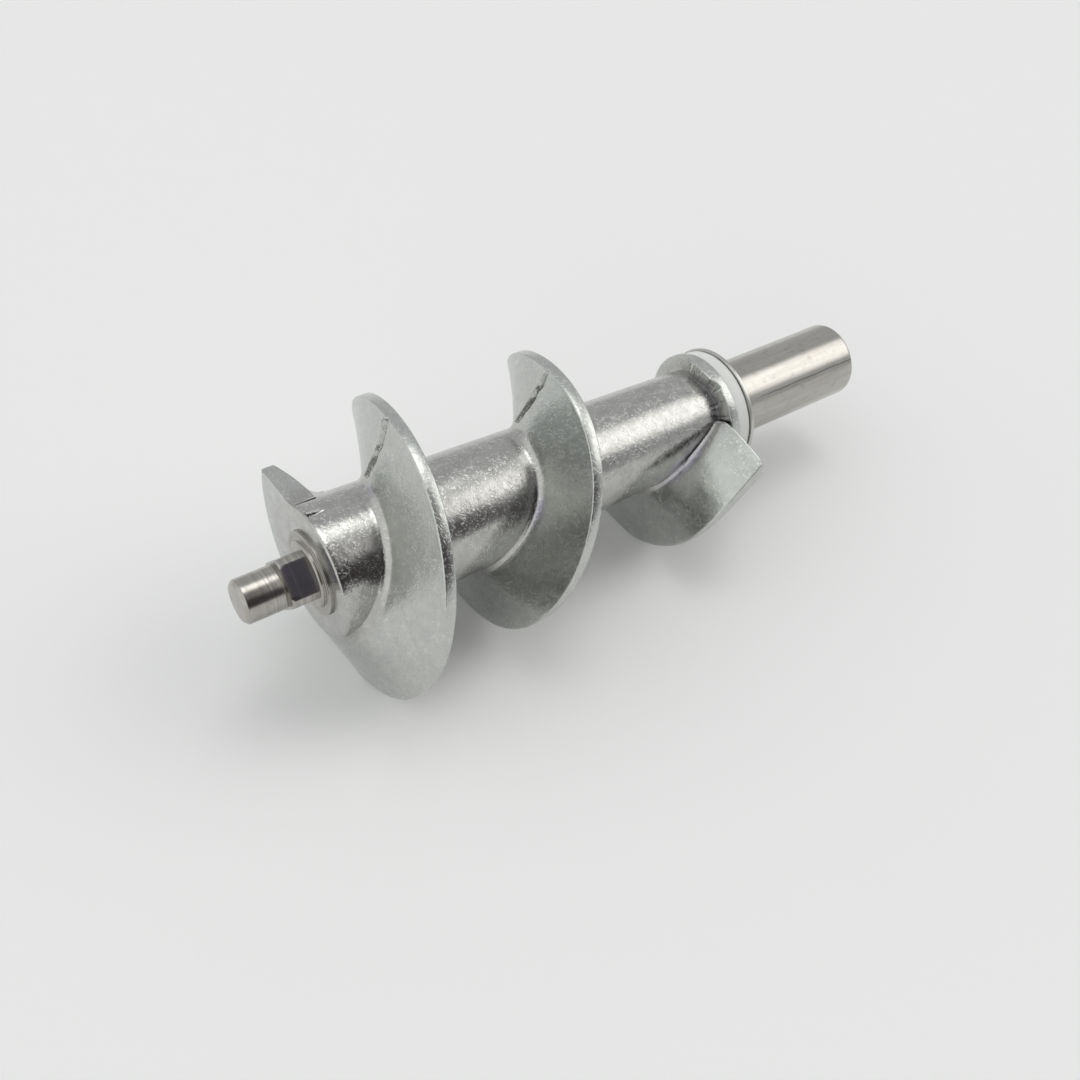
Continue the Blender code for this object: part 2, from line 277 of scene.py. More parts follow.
def find_lay():
    """Matrix from the auger's axis to the frame: the washer's middle lies on the axis."""
    turned_down = (Matrix.Rotation(-math.atan(REST_SLOPE), 4, "Y")
                   @ Matrix.Rotation(math.radians(REST_TURN + 90), 4, "X"))
    low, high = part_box("plastic_washer")
    middle = Vector((PLASTIC_FRONT + PLASTIC_THICK / 2, 0, 0)) * MM
    return Matrix.Translation((low + high) / 2 - turned_down @ middle) @ turned_down


LAY = find_lay()


def at_turn(x, radius, turn):
    a = math.radians(turn)
    return Vector((x, -radius * math.cos(a), radius * math.sin(a))) * MM


def piece(name, verts, faces, material, slot, *nodes):
    """A piece drawn along the axis and laid in the frame in place of its CAD nodes."""
    mesh = bpy.data.meshes.new(name)
    mesh.from_pydata([LAY @ Vector(v) for v in verts], [], faces)
    bm = bmesh.new()
    bm.from_mesh(mesh)
    bmesh.ops.remove_doubles(bm, verts=bm.verts, dist=0.002 * MM)
    bmesh.ops.dissolve_degenerate(bm, edges=bm.edges, dist=0.001 * MM)
    bmesh.ops.recalc_face_normals(bm, faces=bm.faces)
    bm.to_mesh(mesh)
    bm.free()
    mesh.shade_smooth()
    mesh.set_sharp_from_angle(angle=math.radians(SHARP_ANGLE))
    mesh.materials.append(material)
    obj = bpy.data.objects.new(name, mesh)
    bpy.context.scene.collection.objects.link(obj)
    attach(obj, "root")
    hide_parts(*nodes)
    return obj


def grid(rows, closed=False):
    """Vertices and quads of a row of point rows. A closed grid joins its last row to its first."""
    width = len(rows[0])
    verts = [p for row in rows for p in row]
    faces = []
    for i in range(len(rows) if closed else len(rows) - 1):
        j = (i + 1) % len(rows)
        for k in range(width - 1):
            faces.append((i * width + k, i * width + k + 1, j * width + k + 1, j * width + k))
    return verts, faces


def joined(*parts):
    verts, faces = [], []
    for v, f in parts:
        base = len(verts)
        verts += v
        faces += [tuple(base + k for k in face) for face in f]
    return verts, faces


def turned(profile):
    """Grid of a profile of (x, radius), turned about the axis."""
    turns = [360 * k / ROUND_STEPS for k in range(ROUND_STEPS)]
    return grid([[at_turn(x, r, turn) for x, r in profile] for turn in turns], closed=True)


def rounded(profile, radius, points=4):
    """The profile with its inner corners rounded."""
    out = [profile[0]]
    for before, corner, after in zip(profile, profile[1:], profile[2:]):
        a = Vector(before) - Vector(corner)
        b = Vector(after) - Vector(corner)
        if min(a.length, b.length) < 1e-6:
            out.append(corner)
            continue
        cut = min(radius, 0.45 * a.length, 0.45 * b.length)
        start, end = Vector(corner) + a.normalized() * cut, Vector(corner) + b.normalized() * cut
        for k in range(points + 1):
            t = k / points
            p = start * (1 - t) ** 2 + Vector(corner) * 2 * t * (1 - t) + end * t**2
            out.append((p.x, p.y))
    out.append(profile[-1])
    return out


def off_parting(turn):
    """Turn measured from the nearest crossing of the parting line."""
    return (turn - PARTING_TURN + 180) % 360 - 180


def parting(turn, radius, wander, on_face=False):
    """Height of the torn parting ridge at a turn, where wander is a place along the ridge."""
    off = off_parting(turn)
    if not -PARTING_BEFORE < off < PARTING_AFTER:
        return 0.0
    across = math.radians(off) * radius
    if on_face:
        down = min(max(1 - (radius - DRIFT_FROM_R) / DRIFT_OVER_R, 0.0), 1.0)
        across -= PARTING_DRIFT * down**DRIFT_BEND
    torn = Vector((wander * 0.5, 3.1 + 0.05 * round(turn / 360), 0))
    across -= TEAR_COARSE * noise.noise(torn) + TEAR_FINE * noise.noise(torn * 2.3)
    strength = STRENGTH + STRENGTH_VARIES * noise.noise(Vector((wander * 0.7, 7.7, 0)))
    ridge = math.exp(-(across / RIDGE_WIDTH) ** 2)
    off_crevice = (across + CREVICE_OFF * RIDGE_WIDTH) / (CREVICE_WIDTH * RIDGE_WIDTH)
    return RIDGE_HEIGHT * strength * (ridge - CREVICE * math.exp(-off_crevice ** 2))


def core_seam(x):
    """Share of the ridge's height left on the core."""
    return SEAM_LEFT + BURR * math.exp(-(max(x - CORE_FRONT - BURR_FROM, 0.0) / BURR_FADE) ** 2)


def front_root(turn):
    return helix(turn) - front_lean(turn)


def rear_lean(turn):
    return REAR_LEAN + RAMP_SPREAD * ease((RAMP_SPREAD_TO - turn) / RAMP_SPREAD_OVER)


def rear_root(turn):
    return rim_front(turn) + land_width(turn) + rear_lean(turn)


def channel_bound(turn):
    """Place in the channel ahead of the flight where one turn's strip meets the next."""
    if turn < RAMP_FROM + 360:
        return CORE_FRONT
    if turn > FLIGHT_STOP:
        return COLLAR_FRONT
    return (min(rear_root(turn - 360), FLIGHT_END - 1) + front_root(turn)) / 2


def front_edge(turn):
    """Rounding of the casting's front edge, which fades out where the flight stands on it."""
    clear = front_root(turn) - ROOT_FILLET - CORE_FRONT
    to_ramp = ease((RAMP_FROM + 360 - turn) / EDGE_FADE)
    return min(CORE_EDGE, max(clear, 0.0)) * to_ramp


def front_face_x(turn, up):
    """Place along the axis of the flight's front face, at a share of its height."""
    root_x = front_root(turn)
    return root_x + (rim_front(turn) - curl(turn) - root_x) * up + curl(turn) * up**CURL_HOLLOW


def highest_within(limit, turn, core, height):
    """Radius at which the front face crosses a plane, found by halving."""
    low, high = 0.0, 1.0
    for _ in range(30):
        up = (low + high) / 2
        low, high = (up, high) if front_face_x(turn, up) < limit else (low, up)
    return core + height * low


def flight_top(turn, core, height, rim_r):
    """Radius that the flight reaches: it climbs at the ramp and is cut off at its end."""
    rim_x = rim_front(turn)
    top = rim_r
    if turn < RAMP_TO:
        climb = max(0.0, turn - RAMP_FROM) / (RAMP_TO - RAMP_FROM)
        top = core + height * climb**2
    if rim_x > FLIGHT_END > front_root(turn):
        return min(top, highest_within(FLIGHT_END, turn, core, height))
    return core if rim_x > FLIGHT_END else top


def arc():
    """Sine and cosine at even steps of a quarter circle."""
    angles = [math.radians(90 * k / (ARC_POINTS - 1)) for k in range(ARC_POINTS)]
    return [(math.sin(a), math.cos(a)) for a in angles]


def flight_section(turn, core, rear_core):
    """Points of the flight at one turn, from its front root over the rim to its rear root."""
    rim_x, rim_r, land = rim_front(turn), rim_radius(turn) - RIM_TRIM, land_width(turn)
    height = rim_r - core
    top = flight_top(turn, core, height, rim_r)
    rise = top - core
    stands = 1.0 if rise > LOWEST_FACE else 0.0
    front_top = min(top, dressed(rim_r, rim_x, turn))
    rear_top = min(top, dressed(rim_r, rim_x + land, turn))
    fillet = min(ROOT_FILLET, FILLET_SHARE * rise)
    rear_fillet = min(REAR_FILLET, FILLET_SHARE * rise)
    edge = min(RIM_EDGE, EDGE_SHARE * rise)

    def front(r):
        return front_face_x(turn, max(0.0, (r - core) / height))

    def rear(r):
        return rim_x + land + rear_lean(turn) * (rim_r - r) / height

    section = []
    for sine, cosine in arc():
        r = core + fillet * (1 - cosine)
        section.append((front(r) - fillet * (1 - sine), r))
    for k in range(1, FACE_POINTS):
        r = core + fillet + (front_top - edge - core - fillet) * k / FACE_POINTS
        section.append((front(r) - stands * parting(turn, r, r, on_face=True), r))
    for sine, cosine in arc():
        r = front_top - edge + edge * sine
        bead = stands * parting(turn, r, BEAD_WANDER) * RIM_BEAD
        section.append((front(front_top - edge) + edge * (1 - cosine) - bead, r))
    middle = (front(front_top) + rear(rear_top)) / 2
    dip = stands * RIM_DIP * abs(parting(turn, top, DIP_WANDER))
    section.append((middle, (front_top + rear_top) / 2 - dip))
    for sine, cosine in reversed(arc()):
        r = rear_top - edge + edge * sine
        section.append((rear(rear_top - edge) - edge * (1 - cosine), r))
    for k in range(FACE_POINTS - 1, 0, -1):
        r = rear_core + rear_fillet + (rear_top - edge - rear_core - rear_fillet) * k / FACE_POINTS
        section.append((rear(r), r))
    for sine, cosine in reversed(arc()):
        r = rear_core + rear_fillet * (1 - cosine)
        section.append((rear(r) + rear_fillet * (1 - sine), r))
    return [(min(max(x, CORE_FRONT), FLIGHT_END), r) for x, r in section]


def flight_row(turn, ahead, behind):
    """Points of the strip at one turn, from the channel ahead, over the flight, to behind it."""
    core = core_radius(min(max(front_root(turn), CORE_FRONT), COLLAR_FRONT))
    rear_core = core_radius(min(rim_front(turn) + land_width(turn), COLLAR_FRONT))
    section = flight_section(turn, core, rear_core)

    def on_core(x, radius):
        return x, core_radius(x) + core_seam(x) * parting(turn, radius, x)

    first, last = section[0][0], section[-1][0]
    start = max(ahead, CORE_FRONT + front_edge(turn)) if ahead <= CORE_FRONT else ahead
    start = min(start, first)
    stop = max(behind, last)
    row = [on_core(start + (first - start) * k / CHANNEL_POINTS, core) for k in range(CHANNEL_POINTS)]
    row += section
    for k in range(1, CHANNEL_POINTS + 1):
        row.append(on_core(last + (stop - last) * k / CHANNEL_POINTS, rear_core))
    return [at_turn(x, r, turn) for x, r in row]


def strip_turns():
    """Turns of the strip's rows from the ramp's foot on: even steps, and fine ones at the parting."""
    fine_steps = round((PARTING_BEFORE + PARTING_AFTER) / PARTING_STEP)
    base = [RAMP_FROM, FLIGHT_STOP - 720]
    base += [PARTING_TURN - PARTING_BEFORE + PARTING_STEP * k for k in range(fine_steps + 1)]
    even = [RAMP_FROM + ROW_STEP * k for k in range(round(360 / ROW_STEP))]
    base += [turn for turn in even if not -PARTING_BEFORE < off_parting(turn) < PARTING_AFTER]
    kept = []
    for turn in sorted(RAMP_FROM + round(t - RAMP_FROM, 6) % 360 for t in base):
        if not kept or turn - kept[-1] > ROWS_APART:
            kept.append(turn)
    return [t + 360 * k for k in range(4) for t in kept if t + 360 * k <= FLIGHT_STOP + 0.01]


def casting_strip():
    """The core and flight as one helical strip, in runs that part where a bound jumps."""
    cuts = [RAMP_FROM + 360, FLIGHT_STOP - 360]
    just = 1e-6
    parts = []
    run = []
    for turn in strip_turns():
        before = channel_bound(turn - just), channel_bound(turn + 360 - just)
        after = channel_bound(turn + just), channel_bound(turn + 360 + just)
        run.append(flight_row(turn, *(before if run else after)))
        is_cut = any(abs(turn - c) < 0.02 for c in cuts)
        if is_cut and len(run) > 1:
            parts.append(grid(run))
            run = [flight_row(turn, *after)]
    parts.append(grid(run))
    return joined(*parts)


def front_face():
    """The faced front of the casting, from the shaft's boss to its rounded edge."""
    rows = []
    for turn in [t for t in strip_turns() if t < RAMP_FROM + 360 - 0.01]:
        e = front_edge(turn)
        core = core_radius(CORE_FRONT + e)
        radii = (SHAFT_R + BORE_GAP, *FACE_RINGS, core - e - FACE_RING_INSIDE)
        row = [(CORE_FRONT, r) for r in radii]
        row += [(CORE_FRONT + e * (1 - cosine), core - e + e * sine) for sine, cosine in arc()]
        rows.append([at_turn(x, r, turn) for x, r in row])
    return grid(rows, closed=True)


def step_edges(turn):
    """How far the inner and outer edges of the collar's step stand ahead of it at a turn."""
    for (turn_a, *edges_a), (turn_b, *edges_b) in zip(STEP_EDGES, STEP_EDGES[1:]):
        if turn_a <= turn < turn_b:
            share = (turn - turn_a) / (turn_b - turn_a)
            return [a + (b - a) * share for a, b in zip(edges_a, edges_b)]
    return [0.0, 0.0]


def collar():
    """The collar, with the rough step that one half of the mould leaves in front of it."""
    rows = []
    for k in range(COLLAR_STEPS):
        turn = -180 + 360 * k / COLLAR_STEPS
        inner, outer = step_edges(turn)
        # Facets: a coarse noise over some degrees and a fine one over it, where the step stands
        facet = noise.noise(Vector((turn * 0.07, 0.5, 0))) + 0.5 * noise.noise(Vector((turn * 0.4, 4.5, 0)))
        rough = STEP_ROUGH * facet * min(inner / STEP_FULL, 1.0)
        inner = max(0.0, inner + rough)
        outer = max(0.0, outer + 0.4 * rough)
        front = COLLAR_FRONT - inner
        low = core_radius(front) - SUNK
        mid_r = low + STEP_MIDDLE * (COLLAR_R - low) + 0.5 * rough
        mid_x = COLLAR_FRONT - (inner + outer) / 2 - 0.5 * rough
        edge_x = COLLAR_FRONT - outer
        profile = [(front - STEP_AHEAD, low), (front, low + STEP_FOOT_FROM), (front, low + STEP_FOOT),
                   (mid_x, mid_r),
                   (edge_x, COLLAR_R - COLLAR_EDGE), (edge_x + COLLAR_EDGE, COLLAR_R),
                   (COLLAR_BACK, COLLAR_R), (COLLAR_BACK, SHAFT_R + BORE_GAP)]
        rows.append([at_turn(x, r, turn) for x, r in rounded(profile, COLLAR_ROUNDING)])
    return grid(rows, closed=True)


def square_section(bar_radius, turn):
    """Radius of the squared length at a turn: a square whose corners follow the bar."""
    a = math.radians(turn - SQUARE_TURN)
    return min(bar_radius, SQUARE_ACROSS / 2 / max(abs(math.cos(a)), abs(math.sin(a))))


def shaft_front():
    """The pin, the square for the knife and the ring, as far as inside the casting."""
    neck_r = PIN_R - NECK_DEPTH
    pin = rounded([(0, CLOSED_R), (0, PIN_R - PIN_CHAMFER), (PIN_CHAMFER, PIN_R),
                   (PIN_LENGTH - NECK_FROM, PIN_R), (PIN_LENGTH - NECK_TO, neck_r), (PIN_LENGTH, neck_r)],
                  PIN_ROUNDING)
    square = [(PIN_LENGTH, neck_r), (PIN_LENGTH, SQUARE_CORNER_R - SQUARE_EDGE_R),
              (PIN_LENGTH + SQUARE_EDGE, SQUARE_CORNER_R), (PIN_LENGTH + SQUARE_LENGTH / 3, SQUARE_CORNER_R),
              (PIN_LENGTH + SQUARE_LENGTH * 2 / 3, SQUARE_CORNER_R), (SQUARE_END, SQUARE_CORNER_R)]
    back = [(SQUARE_END, PIN_R), (SQUARE_END, RING_R - RING_EDGE_R), (SQUARE_END + RING_EDGE, RING_R),
            (RING_END, RING_R)]
    back += [(RING_END + depth, r) for r, depth in RING_GROOVE]
    back = rounded(back + [(RING_END, SHAFT_R), (CORE_FRONT + 1, SHAFT_R)], RING_ROUNDING)
    corner = math.degrees(math.acos(SQUARE_ACROSS / 2 / SQUARE_CORNER_R))
    angles = {360 * k / ROUND_STEPS for k in range(ROUND_STEPS)}
    angles |= {(SQUARE_TURN + 90 * q + s * corner) % 360 for q in range(4) for s in (-1, 1)}
    rows = [[at_turn(x, square_section(r, t), t) for x, r in square] for t in sorted(angles)]
    return joined(turned(pin), grid(rows, closed=True), turned(back))


def shaft_tail():
    """The shaft from inside the casting to the tail's end, with the hexagonal socket."""
    outside = rounded([(CORE_FRONT + 1, SHAFT_R), (COLLAR_BACK, SHAFT_R), (TAIL_END, SHAFT_R),
                       (TAIL_END, TAIL_FACE_R)], TAIL_EDGE, points=8)
    bottom = TAIL_END - SOCKET_DEPTH
    rows = []
    for k in range(ROUND_STEPS):
        turn = 360 * k / ROUND_STEPS
        a = (turn - SQUARE_TURN) % 60
        flat = math.cos(math.radians(min(a, 60 - a)))
        hole = SOCKET_ACROSS / 2 / flat
        mouth = (SOCKET_ACROSS / 2 + SOCKET_LEAD_IN) / flat
        profile = [(TAIL_END, TAIL_FACE_R), (TAIL_END, mouth), (TAIL_END - SOCKET_LEAD_IN, hole),
                   (bottom, hole), (bottom - SOCKET_CONE, CLOSED_R)]
        rows.append([at_turn(x, r, turn) for x, r in profile])
    return joined(turned(outside), grid(rows, closed=True))


def washer_ring(x0, x1, radius, edge):
    """A washer, drawn forward into half of the gap ahead of it."""
    x0 -= CLEARANCE / 2
    inside = (x0, SHAFT_R + BORE_GAP)
    return turned(rounded([inside, (x0, radius), (x1, radius), (x1, SHAFT_R + BORE_GAP)], edge) + [inside])


def new_material(name):
    mat = bpy.data.materials.new(name)
    mat.use_nodes = True
    tree = mat.node_tree
    return mat, tree, tree.nodes["Principled BSDF"]


def add(tree, kind, **values):
    node = tree.nodes.new(kind)
    for key, value in values.items():
        setattr(node, key, value)
    return node


def axis_place(tree):
    """Position along the auger's own axis: the object's coordinates, laid back."""
    back = LAY.inverted()
    place = add(tree, "ShaderNodeMapping", vector_type="POINT")
    place.inputs["Location"].default_value = back.to_translation()
    place.inputs["Rotation"].default_value = back.to_euler()
    tree.links.new(add(tree, "ShaderNodeTexCoord").outputs["Object"], place.inputs["Vector"])
    return place.outputs["Vector"]


def noise_texture(tree, source, scale, detail=3.0, rough=0.5, distortion=0.0):
    node = add(tree, "ShaderNodeTexNoise")
    node.inputs["Scale"].default_value = scale
    node.inputs["Detail"].default_value = detail
    node.inputs["Roughness"].default_value = rough
    node.inputs["Distortion"].default_value = distortion
    tree.links.new(source, node.inputs["Vector"])
    return node.outputs["Fac"]


def spread(tree, source, low, high, to_low=0.0, to_high=1.0):
    """The source's stretch from low to high, taken to another stretch and held beyond it."""
    node = add(tree, "ShaderNodeMapRange")
    for key, value in zip(("From Min", "From Max", "To Min", "To Max"), (low, high, to_low, to_high)):
        node.inputs[key].default_value = value
    tree.links.new(source, node.inputs["Value"])
    return node.outputs["Result"]


def rises(tree, place, stretch, most=1.0):
    """Share that rises from 0 across a stretch of millimetres."""
    return spread(tree, place, stretch[0] * MM, stretch[1] * MM, 0, most)


def falls(tree, place, stretch):
    """Share that falls from 1 to 0 across a stretch of millimetres."""
    return spread(tree, place, stretch[0] * MM, stretch[1] * MM, 1, 0)


def mixed(tree, share, low, high):
    """Colour between two, where each is a colour or another node's output."""
    node = add(tree, "ShaderNodeMix", data_type="RGBA")
    for socket, colour in zip(node.inputs[6:8], (low, high)):
        if isinstance(colour, tuple):
            socket.default_value = (*colour, 1)
        else:
            tree.links.new(colour, socket)
    tree.links.new(share, node.inputs[0])
    return node.outputs[2]


def maths(tree, operation, *values):
    """A Math node's result, where each value is a number or another node's output."""
    node = add(tree, "ShaderNodeMath", operation=operation)
    for socket, value in zip(node.inputs, values):
        if isinstance(value, (int, float)):
            socket.default_value = value
        else:
            tree.links.new(value, socket)
    return node.outputs[0]


def product(tree, *shares):
    result = shares[0]
    for share in shares[1:]:
        result = maths(tree, "MULTIPLY", result, share)
    return result


def axis_parts(tree, place):
    """A place's parts: along the axis, out from it, and across it to each side (Z and Y)."""
    parts = add(tree, "ShaderNodeSeparateXYZ")
    tree.links.new(place, parts.inputs[0])
    squares = [maths(tree, "MULTIPLY", parts.outputs[k], parts.outputs[k]) for k in ("Y", "Z")]
    out = maths(tree, "SQRT", maths(tree, "ADD", *squares))
    return parts.outputs["X"], out, parts.outputs["Z"], parts.outputs["Y"]


def stretched(tree, place, scale):
    node = add(tree, "ShaderNodeMapping", vector_type="POINT")
    node.inputs["Scale"].default_value = scale
    tree.links.new(place, node.inputs["Vector"])
    return node.outputs["Vector"]


def bump(tree, height, distance, under=None):
    """Normal raised by a height, over another normal where one is given; distance in millimetres."""
    node = add(tree, "ShaderNodeBump")
    node.inputs["Strength"].default_value = 1.0
    node.inputs["Distance"].default_value = distance * MM
    tree.links.new(height, node.inputs["Height"])
    if under:
        tree.links.new(under, node.inputs["Normal"])
    return node.outputs["Normal"]


# Zinc plate: a dark and a pale tone for each place. A stretch is a pair of millimetres, above
# the core, along the axis, out from it, or across it.
CORE_TONES = (0.43, 0.427, 0.41), (0.54, 0.537, 0.52)
FLIGHT_TONES = (0.51, 0.525, 0.505), (0.575, 0.59, 0.565)
FLIGHT_FROM_CORE = 0.8, 2.8
VIOLET = (0.30, 0.27, 0.50)
VIOLET_RISES, VIOLET_FALLS = (0.1, 0.6), (1.0, 2.2)
# Painted shade in the corner at the collar's step: its tone, and where it lies
CORNER_SHADE_TONE = (0.22, 0.21, 0.23)
CORNER_ALONG, CORNER_OUT = (95.3, 96.8), (10.3, 11.6)
CORNER_BACK, CORNER_UP = (-7.5, -4.5), (-5.2, -2.5)
# Painted glint on the raised marks
MARK_GLINT_TONE = (0.74, 0.75, 0.73)
# Painted shade in the pits
PIT_SHADE_TONE = (0.12, 0.12, 0.12)


def above_the_core(tree, along, out):
    """Height above the tapered core."""
    less_core = maths(tree, "MULTIPLY_ADD", along, CORE_TAPER, -(CORE_FRONT_R + CORE_TAPER * CORE_FRONT) * MM)
    return maths(tree, "ADD", out, less_core)


def zinc_plate():
    """Bright zinc over a casting: warm and glossy on the core, cooler and duller on the flights."""
    mat, tree, bsdf = new_material("zinc_plate_look")
    place = axis_place(tree)
    along, out, up, back = axis_parts(tree, place)
    above_core = above_the_core(tree, along, out)
    flight = rises(tree, above_core, FLIGHT_FROM_CORE)
    mottle = spread(tree, noise_texture(tree, place, 420, 6, 0.7), 0.36, 0.64)
    colour = mixed(tree, flight, mixed(tree, mottle, *CORE_TONES), mixed(tree, mottle, *FLIGHT_TONES))

    # Violet tints at the roots
    patches = spread(tree, noise_texture(tree, place, 75, 2), 0.56, 0.68, 0, 0.4)
    at_root = product(tree, rises(tree, above_core, VIOLET_RISES), falls(tree, above_core, VIOLET_FALLS))
    colour = mixed(tree, product(tree, patches, at_root), colour, VIOLET)

    # Painted shade in the corner at the collar's step, on the near side, deeper in some patches
    corner = product(tree, rises(tree, along, CORNER_ALONG), falls(tree, out, CORNER_OUT))
    near_side = product(tree, falls(tree, back, CORNER_BACK), rises(tree, up, CORNER_UP))
    corner_shade_depth = spread(tree, mottle, 0, 1, 0.45, 0.85)
    colour = mixed(tree, product(tree, corner, near_side, corner_shade_depth), colour, CORNER_SHADE_TONE)

    # Short raised marks, whose pale colour is a painted glint, and a few pits darkened with painted shade
    marks = noise_texture(tree, stretched(tree, place, (1.0, 0.55, 1.0)), 1250, 2, 0.5, distortion=1.6)
    mark = spread(tree, marks, 0.56, 0.66)
    colour = mixed(tree, maths(tree, "MULTIPLY", mark, 0.45), colour, MARK_GLINT_TONE)
    pits = add(tree, "ShaderNodeTexVoronoi")
    pits.inputs["Scale"].default_value = 85
    tree.links.new(place, pits.inputs["Vector"])
    pit = spread(tree, pits.outputs["Distance"], 0.010, 0.024, 1, 0)
    # The pits darkened with painted shade; the bump further down sinks them
    colour = mixed(tree, pit, colour, PIT_SHADE_TONE)
    tree.links.new(colour, bsdf.inputs["Base Color"])
    bsdf.inputs["Metallic"].default_value = 1.0

    gloss = spread(tree, noise_texture(tree, place, 900, 3, 0.6), 0.3, 0.7, 0.15, 0.23)
    duller = spread(tree, flight, 0, 1, 0, 0.06)
    tree.links.new(maths(tree, "ADD", gloss, duller), bsdf.inputs["Roughness"])
    swell = bump(tree, noise_texture(tree, place, 330, 2), 0.04)
    pebble = bump(tree, noise_texture(tree, place, 1300, 3, 0.5), 0.022, swell)
    raised = bump(tree, mark, 0.016, pebble)
    sunk = bump(tree, maths(tree, "SUBTRACT", 1.0, pit), 0.07, raised)
    tree.links.new(sunk, bsdf.inputs["Normal"])
    return mat


# Turned steel: a dark and a pale tone for each place, and stretches of millimetres along the
# axis, out from it or across it
PIN_TONES = (0.34, 0.325, 0.30), (0.51, 0.49, 0.455)
DRAWN_TONES = (0.42, 0.40, 0.37), (0.52, 0.505, 0.475)
WORN_TONE = (0.30, 0.275, 0.25)
FRONT_UNTIL = 15.0, 16.0
LINE_TONE = (0.13, 0.12, 0.11)
LINE_WAVER, LINE_DOWN = 0.7, 1.65
LINE_EDGE = 0.05, 0.16
LINE_NEAR_SIDE = -3.0, 0.0
LINE_ALONG, LINE_STRENGTH = (108.0, 114.0), 0.75
# Painted dark reflection on the square's flats, and how much of it
FLAT_REFLECTION_TONE = (0.25, 0.235, 0.29)
FLAT_REFLECTION_STRENGTH = 0.9
SQUARE_STARTS, SQUARE_STOPS = (7.7, 8.0), (11.9, 12.3)
FLAT_OUT = 5.15, 5.30


def drawn_line(tree, place, along, up, back):
    """Share of the one dark line that is drawn along the tail."""
    waver = maths(tree, "MULTIPLY_ADD", noise_texture(tree, place, 120, 2), LINE_WAVER * MM, LINE_DOWN * MM)
    off_line = maths(tree, "ABSOLUTE", maths(tree, "ADD", up, waver))
    line = product(tree, falls(tree, off_line, LINE_EDGE), falls(tree, back, LINE_NEAR_SIDE))
    return product(tree, line, rises(tree, along, LINE_ALONG, LINE_STRENGTH))


def turned_steel():
    """Plated steel: turned and dull on the pin, with a painted dark reflection on the square's flats, drawn
    lengthwise on the tail.
    """
    mat, tree, bsdf = new_material("turned_steel_look")
    place = axis_place(tree)
    along, out, up, back = axis_parts(tree, place)
    front = falls(tree, along, FRONT_UNTIL)
    lines = add(tree, "ShaderNodeTexNoise", noise_dimensions="1D")
    for key, value in zip(("Scale", "Detail", "Roughness"), (1500, 5, 0.75)):
        lines.inputs[key].default_value = value
    tree.links.new(along, lines.inputs["W"])
    turned_tone = mixed(tree, spread(tree, lines.outputs["Fac"], 0.3, 0.7), *PIN_TONES)
    streaks = noise_texture(tree, stretched(tree, place, (0.07, 1, 1)), 620, 5, 0.7)
    drawn_tone = mixed(tree, spread(tree, streaks, 0.34, 0.66), *DRAWN_TONES)
    colour = mixed(tree, front, drawn_tone, turned_tone)
    tone = noise_texture(tree, place, 520, 5, 0.65)
    colour = mixed(tree, spread(tree, tone, 0.56, 0.72, 0, 0.5), colour, WORN_TONE)
    colour = mixed(tree, drawn_line(tree, place, along, up, back), colour, LINE_TONE)
    # Painted dark reflection on the square's flats
    square = product(tree, rises(tree, along, SQUARE_STARTS), falls(tree, along, SQUARE_STOPS))
    flats = product(tree, square, falls(tree, out, FLAT_OUT))
    colour = mixed(tree, maths(tree, "MULTIPLY", flats, FLAT_REFLECTION_STRENGTH), colour, FLAT_REFLECTION_TONE)
    tree.links.new(colour, bsdf.inputs["Base Color"])
    bsdf.inputs["Metallic"].default_value = 1.0

    gloss = spread(tree, tone, 0.3, 0.7, 0.13, 0.21)
    duller = maths(tree, "MULTIPLY", front, 0.06)
    tree.links.new(maths(tree, "ADD", gloss, duller), bsdf.inputs["Roughness"])
    turned_bump = bump(tree, product(tree, lines.outputs["Fac"], front), 0.02)
    drawn_bump = bump(tree, streaks, 0.004, turned_bump)
    tree.links.new(bump(tree, tone, 0.004, drawn_bump), bsdf.inputs["Normal"])
    return mat


def white_plastic():
    mat, tree, bsdf = new_material("white_plastic_look")
    place = axis_place(tree)
    tone = noise_texture(tree, place, 400)
    colour = mixed(tree, spread(tree, tone, 0.3, 0.7), (0.77, 0.78, 0.76), (0.83, 0.84, 0.82))
    tree.links.new(colour, bsdf.inputs["Base Color"])
    tree.links.new(spread(tree, tone, 0.3, 0.7, 0.35, 0.45), bsdf.inputs["Roughness"])
    tree.links.new(bump(tree, noise_texture(tree, place, 2500), 0.006), bsdf.inputs["Normal"])
    return mat


def washer_steel():
    mat, tree, bsdf = new_material("washer_steel_look")
    place = axis_place(tree)
    tone = noise_texture(tree, place, 500)
    colour = mixed(tree, spread(tree, tone, 0.3, 0.7), (0.52, 0.52, 0.50), (0.62, 0.62, 0.60))
    tree.links.new(colour, bsdf.inputs["Base Color"])
    bsdf.inputs["Metallic"].default_value = 1.0
    tree.links.new(spread(tree, tone, 0.3, 0.7, 0.25, 0.35), bsdf.inputs["Roughness"])
    return mat


def make_pieces():
    casting = joined(casting_strip(), front_face(), collar())
    piece("screw_casting", *casting, zinc_plate(), "zinc_plate", "cast_screw")
    piece("shaft", *joined(shaft_front(), shaft_tail()), turned_steel(), "turned_steel", "drive_shaft")
    plastic = washer_ring(PLASTIC_FRONT, PLASTIC_FRONT + PLASTIC_THICK, PLASTIC_R, PLASTIC_EDGE)
    piece("white_washer", *plastic, white_plastic(), "white_plastic", "plastic_washer")
    steel = washer_ring(STEEL_FRONT, STEEL_FRONT + STEEL_THICK, STEEL_R, STEEL_EDGE)
    piece("thin_washer", *steel, washer_steel(), "washer_steel", "steel_washer")


# Camera of the photo, in the auger's axis frame: millimetres and unit directions
CAMERA_AT = (-40.684, -190.924, 0.0)
CAMERA_FORWARD = (0.4511, 0.8910, -0.0500)
CAMERA_UP = (0.3632, -0.1321, 0.9223)
CAMERA_LENS = 38.31


